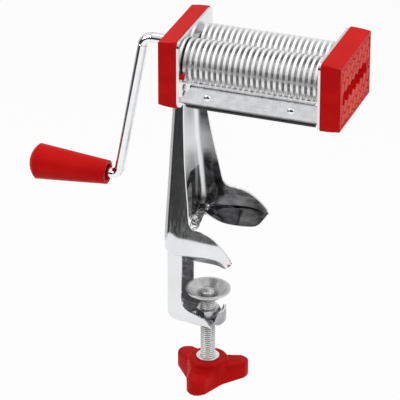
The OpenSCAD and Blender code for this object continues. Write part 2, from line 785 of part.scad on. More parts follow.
module knob_ferrule() {
  color(steel) difference() {
    translate([0, 0, hub_z]) cylinder(r = 7.75, h = 1.5);
    translate([0, 0, hub_z - 1]) cylinder(r = screw_r, h = 4);
  }
}

clamp_stand();
jaw_nut();
left_end_plate();
right_end_plate();
left_cap();
right_cap();
front_rail();
rear_rail();
front_comb();
rear_comb();
rail_rivets();
bearing_bushes();
stand_rivets();
crank_rod();
crank_pin();
rear_roller();
rear_gear();
rear_circlip();
front_roller();
front_gear();
front_circlips();
crank_grip();
grip_clip();
clamp_disc();
clamp_screw();
screw_button();
tri_knob();
knob_ferrule();
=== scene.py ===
# Looks of the hand cranked pasta cutter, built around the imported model. Metres, in the frame of the part.
import json
import math

import bmesh
import bpy
from mathutils import Matrix, Vector


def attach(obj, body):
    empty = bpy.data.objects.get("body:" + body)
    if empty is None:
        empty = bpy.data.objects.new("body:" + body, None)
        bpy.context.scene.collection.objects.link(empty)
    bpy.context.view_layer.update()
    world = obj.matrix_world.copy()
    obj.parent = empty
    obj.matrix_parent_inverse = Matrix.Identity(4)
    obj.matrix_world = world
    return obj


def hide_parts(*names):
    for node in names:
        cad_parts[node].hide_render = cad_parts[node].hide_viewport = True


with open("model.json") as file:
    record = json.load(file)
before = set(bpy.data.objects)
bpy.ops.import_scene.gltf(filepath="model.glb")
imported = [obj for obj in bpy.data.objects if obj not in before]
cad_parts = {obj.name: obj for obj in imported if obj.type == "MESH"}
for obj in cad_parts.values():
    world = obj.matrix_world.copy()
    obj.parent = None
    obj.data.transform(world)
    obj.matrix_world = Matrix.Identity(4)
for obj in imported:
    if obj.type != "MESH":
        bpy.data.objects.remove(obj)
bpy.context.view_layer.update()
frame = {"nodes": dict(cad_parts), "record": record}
NODES = frame["nodes"]
MM = 0.001
SCENE = bpy.context.scene

# Sizes that follow the model, in millimetres
HEAD_BOTTOM = 109.7
HEAD_TOP = 156.3
HALF_DEPTH = 32.1
CAP_DRAFT_Y = 0.7
CAP_DRAFT_Z = 1.7
LEFT_FACE_X = -22.6
RIGHT_FACE_X = 98.8
AXIS_Y = 12.5
AXIS_Z = 136.2
SCREW_R = 5.0
SCREW_PITCH = 1.5
SCREW_LOW = -95.8
SCREW_TOP = -40.9
STAND_TOP = 124.7
WEB_X = -18.8
SPINE_X = -24.6
SHEET = 1.6
EAR_HALF = 35.4
EAR_TIP = 29.5
FLARE = 0.06
BEND_R = 5.5
BLEND_R = 40.0
BLEND_Z = 12.8
LEAN = math.radians(10.52)
JAW_HALF = 13.0
JAW_TOP = 0.4
JAW_BOTTOM = -56.3
JAW_EDGE_X = -14.2
SPINE_HOLE_R = 6.0
SPINE_HOLE_Z = -18.3
NOSE_R = 12.4
RIVET_X = (10.4, 66.3)
RIVET_Z = 120.3
RAIL_FACE = 30.6
HUB_Z = -86.8
HUB_DEPTH = 15.0

# Sizes of the sheet's lower jaw and its nose as they are drawn here, in millimetres and degrees
JAW_CORNER_Z = -38.3
JAW_FLOOR_X = -8.0
JAW_ROUND = 7.0
JAW_BEND = 2.6
JAW_SAG = 2.2
SAG_X = -18.0
SAG_RUN = 25.0
SAG_SOFT = 4.0
LEVEL_HALF = 8.0
SCREW_HOLE_R = 5.6
NOSE_X = 6.3
NOSE_LIFT = 10.0
NOSE_LOW = 1.4
NOSE_BEND = 2.2
NOSE_END = 58
NOSE_RISE = 24

# Place (with Y for either side) and size of the feet under the left end plate, in millimetres
FOOT_PLACE = (-11.0, 20.0, 118.75)
FOOT_SIZE = (SHEET, 12.0, 9.5)

# Half sizes of the rail's rivet heads, in metres
RIVET_HEAD = (0.0025, 0.0013, 0.0025)

# Sizes of the knob as it is drawn here, in millimetres
HUB_R_LOW = 13.9
HUB_R_TOP = 13.4
LOBE_TIP = 27.8
LOBE_HALF = 6.5
LOBE_ROUND = 3.9
LOBE_LOW_Z = HUB_Z - 16.0
LOBE_TOP_Z = HUB_Z - 3.4
LOBE_DROP = 1.2
VALLEY_LOW = 15.2
VALLEY_TOP = 9.6

# Bricks and plaque on the caps, in millimetres and degrees
BRICK_TILT = 31.0
BRICK_LONG = 8.6
BRICK_WIDE = 6.6
BRICK_GAP = 0.8
BRICK_MARGIN = 2.1
BRICK_SINK = 0.55
BRICK_RISE = 0.5
BRICK_INSET = 0.4
HOLE_CLEAR = 8.5
PLAQUE_CLEAR = (25.2, 5.4)
PLAQUE_HALF = (22, 2.4)
PLAQUE_ROUND = 2.2
PLAQUE_DROP = 1.0
PLAQUE_SLOPE = 0.07
PLAQUE_RISE = 0.3
PLAQUE_INSET = 0.25

# Camera at the photo's viewing angle, and the stage, in metres
AZIMUTH = math.radians(19.9)
ELEVATION = math.radians(27.3)
LENS = 288.0
TARGET = Vector((5.0, -29.3, 46.4)) * MM
DISTANCE = 2.0645
FLOOR_X = (-0.515, 1.6)
FLOOR_Y = (-0.9, 2.4)
FLOOR_Z = -0.16
LIGHT_AIM = (0.0, 0.0, 0.05)


def add_camera():
    """Places the camera on a line from the target at the photo's azimuth and elevation."""
    right = Vector((math.cos(AZIMUTH), math.sin(AZIMUTH), 0))
    back = Vector((
        math.sin(AZIMUTH) * math.cos(ELEVATION),
        -math.cos(AZIMUTH) * math.cos(ELEVATION),
        math.sin(ELEVATION),
    ))
    up = back.cross(right)
    data = bpy.data.cameras.new("camera")
    data.lens = LENS
    data.sensor_width = 36.0
    data.sensor_fit = "HORIZONTAL"
    data.clip_end = 20.0
    camera = bpy.data.objects.new("camera", data)
    SCENE.collection.objects.link(camera)
    turn = Matrix((right, up, back)).transposed().to_4x4()
    camera.matrix_world = Matrix.Translation(TARGET + back * DISTANCE) @ turn
    SCENE.camera = camera


class Shader:
    """A node material with short calls for the nodes that are used here."""

    def __init__(self, name):
        self.material = bpy.data.materials.new(name)
        self.material.use_nodes = True
        self.tree = self.material.node_tree
        self.tree.nodes.clear()
        self.out = self.node("ShaderNodeOutputMaterial")
        self.bsdf = self.node("ShaderNodeBsdfPrincipled")
        self.link(self.bsdf.outputs[0], self.out.inputs[0])
        self.coords = self.node("ShaderNodeTexCoord").outputs["Object"]

    def node(self, kind, **values):
        n = self.tree.nodes.new(kind)
        for key, value in values.items():
            setattr(n, key, value)
        return n

    def link(self, a, b):
        self.tree.links.new(a, b)

    def set(self, **values):
        for key, value in values.items():
            self.bsdf.inputs[key.replace("_", " ")].default_value = value

    def noise(self, scale, stretch=(1, 1, 1), detail=3.0, rough=0.5):
        mapping = self.node("ShaderNodeMapping")
        mapping.inputs["Scale"].default_value = stretch
        self.link(self.coords, mapping.inputs["Vector"])
        n = self.node("ShaderNodeTexNoise")
        n.inputs["Scale"].default_value = scale
        n.inputs["Detail"].default_value = detail
        n.inputs["Roughness"].default_value = rough
        self.link(mapping.outputs[0], n.inputs["Vector"])
        return n.outputs["Fac"]

    def span(self, value, low, high, from_low=0.3, from_high=0.7):
        """A value taken from one range to another, and kept in it; by default from the range of noise."""
        n = self.node("ShaderNodeMapRange")
        n.inputs["From Min"].default_value = from_low
        n.inputs["From Max"].default_value = from_high
        n.inputs["To Min"].default_value = low
        n.inputs["To Max"].default_value = high
        self.link(value, n.inputs["Value"])
        return n.outputs[0]

    def mix(self, factor, a, b):
        n = self.node("ShaderNodeMix", data_type="RGBA")
        for socket, value in ((n.inputs[6], a), (n.inputs[7], b)):
            if isinstance(value, tuple):
                socket.default_value = (*value, 1.0)
            else:
                self.link(value, socket)
        self.link(factor, n.inputs[0])
        return n.outputs[2]

    def maths(self, operation, a, b):
        n = self.node("ShaderNodeMath", operation=operation)
        self.link(a, n.inputs[0])
        self.link(b, n.inputs[1])
        return n.outputs[0]

    def below(self, value, low, high):
        """1 up to low, 0 from high on."""
        return self.span(value, 1.0, 0.0, low, high)

    def above(self, value, low, high):
        """0 up to low, 1 from high on."""
        return self.span(value, 0.0, 1.0, low, high)

    def both(self, a, b):
        return self.maths("MULTIPLY", a, b)

    def either(self, a, b):
        return self.maths("MAXIMUM", a, b)

    def outside(self, zone):
        return self.below(zone, 0.0, 1.0)

    def axes(self):
        """X, Y and Z in the frame of the part, in metres."""
        n = self.node("ShaderNodeSeparateXYZ")
        self.link(self.coords, n.inputs[0])
        return n.outputs["X"], n.outputs["Y"], n.outputs["Z"]

    def colour(self, value):
        self.link(value, self.bsdf.inputs["Base Color"])

    def roughness(self, value):
        self.link(value, self.bsdf.inputs["Roughness"])

    def radius(self):
        """Distance from the Z axis."""
        flat = self.node("ShaderNodeMapping")
        flat.inputs["Scale"].default_value = (1, 1, 0)
        self.link(self.coords, flat.inputs["Vector"])
        n = self.node("ShaderNodeVectorMath", operation="LENGTH")
        self.link(flat.outputs[0], n.inputs[0])
        return n.outputs["Value"]

    def axis_distance(self, place):
        """Distance from the nearer of two axes along X, at +Y and -Y of a place."""
        fold = self.node("ShaderNodeVectorMath", operation="ABSOLUTE")
        self.link(self.coords, fold.inputs[0])
        shift = self.node("ShaderNodeVectorMath", operation="SUBTRACT")
        self.link(fold.outputs[0], shift.inputs[0])
        shift.inputs[1].default_value = place
        flat = self.node("ShaderNodeMapping")
        flat.inputs["Scale"].default_value = (0, 1, 1)
        self.link(shift.outputs[0], flat.inputs["Vector"])
        n = self.node("ShaderNodeVectorMath", operation="LENGTH")
        self.link(flat.outputs[0], n.inputs[0])
        return n.outputs["Value"]

    def bump(self, *layers):
        """Layers of (height, strength, distance in metres), one over the other."""
        normal = None
        for height, strength, distance in layers:
            n = self.node("ShaderNodeBump")
            n.inputs["Strength"].default_value = strength
            n.inputs["Distance"].default_value = distance
            self.link(height, n.inputs["Height"])
            if normal is not None:
                self.link(normal, n.inputs["Normal"])
            normal = n.outputs[0]
        self.link(normal, self.bsdf.inputs["Normal"])


def grey(value):
    return value, value, value


def plated_sheet(name, inside=False):
    """Bright plated pressing with soft waves and fine polish lines, or its inside with painted shade in the
    hollows and painted glints on the rippled lip.
    """
    s = Shader(name)
    x, y, z = s.axes()
    tone = s.span(s.noise(35, detail=2), 0, 1)
    polish = s.noise(90, stretch=(14, 14, 1), detail=4)
    lines = (polish, 0.14, 0.00003)
    if inside:
        # Zones of the inside painted dark as shade: the web's lower dish, parts of the back flange, the lower
        # back ear and the jaw
        dish = s.both(s.below(x, -0.0170, -0.0160), s.below(z, 0.0405, 0.0420))
        ends = s.either(s.above(z, 0.066, 0.082), s.below(z, 0.044, 0.056))
        flange = s.both(s.above(x, -0.0145, -0.0130), ends)
        low = s.both(s.below(z, 0.014, 0.022), s.above(y, -0.022, -0.018))
        lip = s.both(s.below(x, -0.0125, -0.0110), s.below(z, 0.0075, 0.0100))
        jaw = s.below(z, -0.004, 0.000)
        painted_shade_zone = s.both(s.either(s.either(dish, flange), low), s.outside(lip))
        lip = s.both(lip, s.outside(jaw))
        # Painted shade: near black with patches of painted reflection, and mid grey inside the jaw
        patch = s.noise(60, stretch=(1, 1, 2), detail=3, rough=0.6)
        dark = s.mix(s.span(patch, 0, 1, 0.35, 0.75), grey(0.04), (0.26, 0.26, 0.27))
        dark = s.mix(jaw, dark, s.mix(tone, (0.30, 0.30, 0.31), (0.60, 0.60, 0.61)))
        # Painted glints: the rippled lip is coloured in bright and near black spots for its reflections
        painted_lip_glints = s.span(s.noise(260, detail=2), 0, 1, 0.32, 0.48)
        bright = s.mix(tone, (0.88, 0.89, 0.90), (0.96, 0.97, 0.98))
        bright = s.mix(lip, bright, s.mix(painted_lip_glints, grey(0.10), grey(0.97)))
        s.colour(s.mix(s.either(painted_shade_zone, jaw), bright, dark))
        shiny = s.either(painted_shade_zone, s.span(lip, 0.0, 0.6, 0.0, 1.0))
        s.roughness(s.span(shiny, 0.40, 0.10, 0.0, 1.0))
        dents = s.both(s.noise(130, stretch=(1, 1, 0.6), detail=2), s.either(jaw, lip))
        s.bump((s.noise(70, detail=2), 0.35, 0.0008), lines, (dents, 1.0, 0.004))
    else:
        bend = s.both(s.above(x, -0.0188, -0.0186), s.below(x, -0.0162, -0.0152))
        bend = s.both(bend, s.above(z, 0.012, 0.020))
        s.colour(s.mix(tone, (0.74, 0.75, 0.76), (0.84, 0.85, 0.86)))
        s.roughness(s.either(s.span(polish, 0.08, 0.18), s.span(bend, 0.0, 0.6)))
        s.bump((s.noise(55, detail=1), 0.2, 0.0006), lines)
    s.set(Metallic=1.0)
    return s.material


def bright_sheet():
    """Drawn strip with lines along X and a rolled hem painted near black as its dark reflection."""
    s = Shader("bright_sheet")
    lines = s.noise(60, stretch=(0.6, 30, 30), detail=5, rough=0.6)
    spots = s.noise(220, detail=3)
    shade = s.span(lines, 0, 1)
    # Painted shade: the rolled hem is coloured near black for the dark reflections of its round face
    painted_hem_shade = s.below(s.axes()[2], 0.1144, 0.1156)
    strip = s.mix(shade, (0.66, 0.67, 0.68), (0.82, 0.83, 0.84))
    s.colour(s.mix(painted_hem_shade, strip, s.mix(shade, grey(0.04), grey(0.10))))
    s.roughness(s.span(spots, 0.20, 0.33))
    s.bump((lines, 0.25, 0.00004), (spots, 0.08, 0.00005))
    s.set(Metallic=1.0)
    return s.material


def roller_steel():
    """Turned and plated rings with fine lines round the roller; the grooves are smoother and carry painted
    shade.
    """
    s = Shader("roller_steel")
    lines = s.noise(900, stretch=(1, 0.02, 0.02), detail=4)
    tone = s.span(s.noise(70, detail=2), 0, 1)
    # Painted shade: the grooves between the rings are coloured darker for the shade that falls in them
    painted_groove_shade = s.below(s.axis_distance((0.0, AXIS_Y * MM, AXIS_Z * MM)), 0.0128, 0.0148)
    ring = s.mix(tone, (0.92, 0.92, 0.93), (0.98, 0.98, 0.99))
    s.colour(s.mix(painted_groove_shade, ring, s.mix(tone, grey(0.72), grey(0.82))))
    s.roughness(s.both(s.span(painted_groove_shade, 0.33, 0.15, 0.0, 1.0), s.span(lines, 0.85, 1.15)))
    s.bump((lines, 0.2, 0.00003))
    s.set(Metallic=0.7)
    return s.material


def plated_rod():
    """Polished rod with faint drawing lines."""
    s = Shader("plated_rod")
    lines = s.noise(300, stretch=(0.1, 1, 1), detail=4)
    s.colour(s.mix(s.span(lines, 0, 1), (0.84, 0.85, 0.87), (0.92, 0.92, 0.93)))
    s.roughness(s.span(s.noise(120, detail=3), 0.04, 0.12))
    s.bump((lines, 0.1, 0.00004))
    s.set(Metallic=1.0)
    return s.material


def satin_steel():
    """Zinc plated pieces of the clamp: faint rings, a ring of painted shade in the pad round its button, a
    pale ferrule.
    """
    s = Shader("satin_steel")
    radius = s.radius()
    rings = s.node("ShaderNodeTexNoise", noise_dimensions="1D")
    rings.inputs["Scale"].default_value = 2500
    rings.inputs["Detail"].default_value = 3
    s.link(radius, rings.inputs["W"])
    cloud = s.noise(160, detail=4, rough=0.6)
    tone = s.span(cloud, 0, 1)
    rim = s.mix(tone, grey(0.55), grey(0.70))
    # Painted shade: a dark ring in the pad's dish round the button, standing in for its dark reflections
    dark = s.mix(tone, grey(0.10), grey(0.20))
    middle = s.mix(s.below(radius, 0.0048, 0.0053), dark, rim)
    pad = s.mix(s.below(radius, 0.0056, 0.0090), rim, middle)
    ferrule = s.mix(tone, grey(0.88), grey(0.96))
    s.colour(s.mix(s.above(s.axes()[2], -0.0600, -0.0440), ferrule, pad))
    s.roughness(s.span(cloud, 0.26, 0.42))
    s.bump((rings.outputs["Fac"], 0.15, 0.00004), (cloud, 0.1, 0.00008))
    s.set(Metallic=1.0)
    return s.material


def thread_steel():
    """Rolled thread: bright crests, painted shade in the grooves."""
    s = Shader("thread_steel")
    cloud = s.noise(160, detail=4, rough=0.6)
    crest = s.mix(s.span(cloud, 0, 1), grey(0.84), grey(0.94))
    # Painted shade: the thread's roots are coloured dark for the shade in the grooves
    s.colour(s.mix(s.below(s.radius(), 0.0043, 0.0049), crest, grey(0.30)))
    s.roughness(s.span(cloud, 0.40, 0.52))
    s.bump((cloud, 0.1, 0.00008))
    s.set(Metallic=0.6)
    return s.material


STEEL_DARK = (0.50, 0.50, 0.51)
STEEL_LIGHT = (0.68, 0.68, 0.69)


def plain_metal(name, dark, light):
    """Small hidden or half hidden metal pieces."""
    s = Shader(name)
    cloud = s.noise(250, detail=4)
    s.colour(s.mix(s.span(cloud, 0, 1), dark, light))
    s.roughness(s.span(cloud, 0.22, 0.38))
    s.bump((cloud, 0.1, 0.00005))
    s.set(Metallic=1.0)
    return s.material


def comb_steel():
    """Stripper combs: rolled sheet with teeth painted near white as a highlight."""
    s = Shader("comb_steel")
    cloud = s.noise(250, detail=4)
    y = s.axes()[1]
    # Painted highlight: the teeth are coloured near white and made almost unmetallic so that they show lit
    tooth_highlight = s.below(s.both(y, y), 0.0256 ** 2, 0.0266 ** 2)
    s.colour(s.mix(tooth_highlight, s.mix(s.span(cloud, 0, 1), STEEL_DARK, STEEL_LIGHT), grey(0.97)))
    s.link(s.span(tooth_highlight, 1.0, 0.1, 0.0, 1.0), s.bsdf.inputs["Metallic"])
    s.roughness(s.span(cloud, 0.22, 0.38))
    s.bump((cloud, 0.1, 0.00005))
    return s.material


def red_plastic(name, dark, light, shine):
    """Moulded red plastic with a fine grain and faint flow marks."""
    s = Shader(name)
    flow = s.noise(45, stretch=(1, 1, 2.5), detail=3)
    grain = s.noise(2200, detail=2)
    s.colour(s.mix(s.span(flow, 0, 1), dark, light))
    s.roughness(s.span(grain, 0.30, 0.42))
    s.bump((grain, 0.12, 0.00004), (flow, 0.1, 0.0002))
    s.set(IOR=1.45, Specular_IOR_Level=shine)
    return s.material


MATERIALS = {
    "plated_sheet": plated_sheet("plated_sheet"),
    "plated_inside": plated_sheet("plated_inside", True),
    "bright_sheet": bright_sheet(),
    "roller_steel": roller_steel(),
    "plated_rod": plated_rod(),
    "satin_steel": satin_steel(),
    "thread_steel": thread_steel(),
    "steel": plain_metal("steel", STEEL_DARK, STEEL_LIGHT),
    "comb_steel": comb_steel(),
    "brass": plain_metal("brass", (0.55, 0.38, 0.13), (0.72, 0.52, 0.22)),
    "red_plastic": red_plastic("red_plastic", (0.50, 0.005, 0.005), (0.57, 0.008, 0.006), 0.05),
    "red_knob": red_plastic("red_knob", (0.42, 0.004, 0.004), (0.49, 0.007, 0.005), 0.04),
    # Lit and shaded copies of the red plastic: bricks painted lighter and more orange as sheen, plaque
    # painted darker and without shine as shade
    "red_bricks_painted_sheen": red_plastic("red_bricks_painted_sheen", (0.56, 0.030, 0.016), (0.64, 0.050, 0.028), 0.05),
    "red_plaque_painted_shade": red_plastic("red_plaque_painted_shade", (0.38, 0.003, 0.005), (0.44, 0.005, 0.006), 0.0),
}


def smooth(mesh, degrees=35):
    """Smooth shading with sharp edges over an angle."""
    if "custom_normal" in mesh.attributes:
        mesh.attributes.remove(mesh.attributes["custom_normal"])
    mesh.polygons.foreach_set("use_smooth", [True] * len(mesh.polygons))
    mesh.set_sharp_from_angle(angle=math.radians(degrees))


def soften(obj, width):
    """Joins split vertices, rounds the edges and evens out the shading."""
    weld = obj.modifiers.new("weld", "WELD")
    weld.merge_threshold = 1e-6
    if width > 0:
        bevel = obj.modifiers.new("bevel", "BEVEL")
        bevel.width = width
        bevel.segments = 3
        bevel.limit_method = "ANGLE"
        bevel.angle_limit = math.radians(35)
    normals = obj.modifiers.new("normals", "WEIGHTED_NORMAL")
    normals.keep_sharp = True


# Edge rounding of the nodes that stay as they are, in metres
EDGES = {
    "left_cap": 0.0016, "right_cap": 0.0016, "crank_grip": 0.0007, "left_end_plate": 0.00025,
    "right_end_plate": 0.00025, "front_rail": 0.00025, "rear_rail": 0.00025, "clamp_disc": 0.0003,
    "knob_ferrule": 0.0003, "jaw_nut": 0.0003, "front_roller": 0.00015, "rear_roller": 0.00015,
}

# Nodes with a look of their own
LOOKS = {"front_comb": "comb_steel", "rear_comb": "comb_steel"}


def dress_nodes():
    """Gives every node of the model its material and smooth shading, and rounds the edges of the nodes in
    EDGES.
    """
    slots = {p["node"]: p["material_slot"] for p in frame["record"]["subparts"]}
    for name, obj in NODES.items():
        obj.data.materials.clear()
        obj.data.materials.append(MATERIALS[LOOKS.get(name, slots[name])])
        smooth(obj.data, 120 if name == "crank_rod" else 35)
        soften(obj, EDGES.get(name, 0.0))


def finish_piece(name, mesh, body, slot, replaced=(), degrees=35, looks=()):
    """Puts a mesh into the scene as a piece that rides on a body, with the slot's material or named looks."""
    obj = bpy.data.objects.new(name, mesh)
    SCENE.collection.objects.link(obj)
    for key in looks or (slot,):
        mesh.materials.append(MATERIALS[key])
    smooth(mesh, degrees)
    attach(obj, body)
    if replaced:
        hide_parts(*replaced)


def clamp_thread():
    """The clamp screw with its rolled thread, rows of points along the helix."""
    around = 48
    profile = [0.0, 0.14, 0.42, 0.72, 0.92, 0.72, 0.42, 0.14]
    rows = len(profile)
    low, top = SCREW_LOW * MM, SCREW_TOP * MM
    pitch = SCREW_PITCH * MM
    depth, end_run, end_step = 0.00085, 0.0007, 0.0005
    pin_r, pin_length, pin_rise = 0.0034, 0.0031, 0.00055
    turns = int((top - low) / pitch) + 2
    bm = bmesh.new()
    grid = []
    for i in range(around):
        angle = 2 * math.pi * i / around
        column = []
        for j in range(turns * rows + 1):
            z = low - pitch + pitch * (j / rows + i / around)
            r = SCREW_R * MM - depth * profile[j % rows]
            if z < low + end_run or z > top - end_run:
                r -= end_step
            z = min(max(z, low), top)
            column.append(bm.verts.new((r * math.cos(angle), r * math.sin(angle), z)))
        grid.append(column)
    for i in range(around):
        wrap = rows if i == around - 1 else 0
        a = grid[i]
        b = grid[(i + 1) % around]
        for j in range(turns * rows - wrap):
            bm.faces.new((a[j], b[j + wrap], b[j + wrap + 1], a[j + 1]))
    bmesh.ops.remove_doubles(bm, verts=bm.verts, dist=1e-6)
    bmesh.ops.dissolve_degenerate(bm, edges=bm.edges, dist=1e-6)
    bmesh.ops.create_cone(
        bm, cap_ends=True, segments=around, radius1=pin_r, radius2=pin_r, depth=pin_length,
        matrix=Matrix.Translation((0, 0, top + pin_rise)),
    )
    bmesh.ops.recalc_face_normals(bm, faces=bm.faces)
    mesh = bpy.data.meshes.new("clamp_thread")
    bm.to_mesh(mesh)
    bm.free()
    looks = ("thread_steel",)
    finish_piece("clamp_thread", mesh, "clamp_screw", "satin_steel", ("clamp_screw",), 60, looks)


def cut_corners(points, passes):
    """Rounds an open line of points by cutting its corners."""
    for _ in range(passes):
        line = [points[0]]
        for a, b in zip(points, points[1:]):
            line.append(tuple(0.75 * p + 0.25 * q for p, q in zip(a, b)))
            line.append(tuple(0.25 * p + 0.75 * q for p, q in zip(a, b)))
        line.append(points[-1])
        points = line
    return points


def ease(t):
    """Smooth step from 0 to 1."""
    t = min(max(t, 0.0), 1.0)
    return t * t * (3 - 2 * t)


def blend(a, b, t):
    """The point between two points at a share of the way."""
    return tuple(p + (q - p) * t for p, q in zip(a, b))


def read_table(table, x):
    """Values of a table of rows (x, values...) at x, smooth between the rows."""
    if x <= table[0][0]:
        return table[0][1:]
    if x >= table[-1][0]:
        return table[-1][1:]
    i = max(k for k in range(len(table) - 1) if table[k][0] <= x)
    before, a, b, after = table[max(i - 1, 0)], table[i], table[i + 1], table[min(i + 2, len(table) - 1)]
    h = b[0] - a[0]
    t = (x - a[0]) / h
    values = []
    for k in range(1, len(a)):
        slope_a = (b[k] - before[k]) / (b[0] - before[0])
        slope_b = (after[k] - a[k]) / (after[0] - a[0])
        values.append(
            (2 * t ** 3 - 3 * t ** 2 + 1) * a[k] + (t ** 3 - 2 * t ** 2 + t) * h * slope_a
            + (3 * t ** 2 - 2 * t ** 3) * b[k] + (t ** 3 - t ** 2) * h * slope_b
        )
    return tuple(values)


def grid_mesh(name, rows):
    """A mesh over rows of points in millimetres."""
    width = len(rows[0])
    points = [tuple(v * MM for v in p) for row in rows for p in row]
    faces = []
    for i in range(len(rows) - 1):
        for j in range(width - 1):
            a = i * width + j
            faces.append((a, a + 1, a + width + 1, a + width))
    mesh = bpy.data.meshes.new(name)
    mesh.from_pydata(points, [], faces)
    mesh.update()
    return mesh


def bake(obj):
    """The mesh of an object with its modifiers; the object is taken away."""
    graph = bpy.context.evaluated_depsgraph_get()
    mesh = bpy.data.meshes.new_from_object(obj.evaluated_get(graph))
    bpy.data.objects.remove(obj)
    return mesh


def thicken(mesh, inside, cutters=()):
    """Makes a sheet of a surface, on the side of a point (mm), and cuts holes with closed meshes."""
    face = mesh.polygons[len(mesh.polygons) // 2]
    towards = Vector(inside) * MM - face.center
    obj = bpy.data.objects.new("sheet", mesh)
    SCENE.collection.objects.link(obj)
    solid = obj.modifiers.new("solid", "SOLIDIFY")
    solid.thickness = SHEET * MM
    solid.offset = 1.0 if face.normal.dot(towards) > 0 else -1.0
    solid.use_even_offset = False
    solid.material_offset = 1
    for slot in ("plated_sheet", "plated_inside"):
        mesh.materials.append(MATERIALS[slot])
    mesh = join("sheet", [bake(obj)])
    for cutter in cutters:
        obj = bpy.data.objects.new("sheet", mesh)
        tool = bpy.data.objects.new("cutter", cutter)
        SCENE.collection.objects.link(obj)
        SCENE.collection.objects.link(tool)
        hole = obj.modifiers.new("hole", "BOOLEAN")
        hole.operation = "DIFFERENCE"
        hole.solver = "EXACT"
        hole.use_self = True
        hole.object = tool
        mesh = bake(obj)
        bpy.data.objects.remove(tool)
    return mesh


def join(name, meshes):
    """One mesh of several, with its faces turned outwards."""
    bm = bmesh.new()
    for mesh in meshes:
        bm.from_mesh(mesh)
    bmesh.ops.recalc_face_normals(bm, faces=bm.faces)
    mesh = bpy.data.meshes.new(name)
    bm.to_mesh(mesh)
    bm.free()
    return mesh


def rod_cutter(r, length, matrix):
    """A closed rod, in millimetres, that cuts a round hole."""
    bm = bmesh.new()
    bmesh.ops.create_cone(
        bm, cap_ends=True, segments=64, radius1=r * MM, radius2=r * MM, depth=length * MM, matrix=matrix,
    )
    mesh = bpy.data.meshes.new("cutter")
    bm.to_mesh(mesh)
    bm.free()
    return mesh


# Free edge of a flange and its ear (X, Z), from the top down
EAR_EDGE = [
    (-10.2, STAND_TOP), (-10.2, 114.0), (-10.2, 103.7), (-8.9, 88.0), (-7.1, 69.0), (-4.5, 51.0),
    (-3.0, 42.0), (-1.9, 32.5), (-0.9, 28.8), (0.8, 26.8), (4.0, 25.7), (8.2, 25.4), (13.2, 24.1),
    (18.5, 21.2), (24.2, 15.8), (28.2, 10.9), (EAR_TIP, 7.9),
]
# Crease of the ear: X and Z
CREASE = [
    (-16.5, 7.6), (-13.0, 6.1), (-11.0, 5.7), (-7.0, 6.9), (-2.2, 8.3), (5.0, 9.4), (12.0, 9.8), (21.0, 9.5),
    (26.0, 8.5), (29.5, 7.6),
]
# Inner edge of the turned in rim along an ear: X, then Y and Z
RIM = [
    (-12.0, 28.4, 4.7), (-10.5, 28.2, 4.0), (-7.0, 28.1, 2.5), (-1.0, 28.0, 0.6), (4.0, 27.9, 0.0),
    (12.0, 27.9, 0.0), (17.0, 28.8, 0.0), (21.0, 30.5, 0.0), (23.7, 32.4, 0.5), (26.6, 34.8, 3.6),
    (29.5, 37.4, 7.3),
]
# Height below which the rows of the sheet follow the ears' crease
FOLD_Z = 16.0


def half_width(z, x=0.0):
    """Half width of the column at a height; the lean starts higher near the column's corner."""
    rise = 3 * ease((-6 - x) / 8) * (1 - ease((z - 28) / 40))
    low = BLEND_Z + rise
    if z <= low:
        return EAR_HALF
    if z < low + BLEND_R * math.sin(LEAN):
        return EAR_HALF - BLEND_R + math.sqrt(BLEND_R ** 2 - (z - low) ** 2)
    top = EAR_HALF - BLEND_R * (1 - math.cos(LEAN))
    return top - (z - low - BLEND_R * math.sin(LEAN)) * math.tan(LEAN)


def web_at(y, z):
    """X of the column's web, pressed out towards the spine in its lower part."""
    t = min(max((50 - z) / 42.3, 0.0), 1.0)
    depth = (WEB_X - SPINE_X) * (0.55 * t + 0.45 * ease(t))
    up = min(max((z - 5.7) / 50.6, 0.0), 1.0)
    half = JAW_HALF + 9 * up
    soft = 2.6 + 4.4 * min(max((z - 5.7) / 22, 0.0), 1.0)
    return WEB_X - depth * ease((half + soft / 2 - abs(y)) / soft)


def shoulder_z(y):
    """Height of the web's bottom edge at the shoulders."""
    if y < 12.5:
        return 1.4
    if y < 28:
        return 1.4 + (y - 12.5) * 5.9 / 15.5
    return 7.3 + 0.3 * ease((y - 28) / 3)


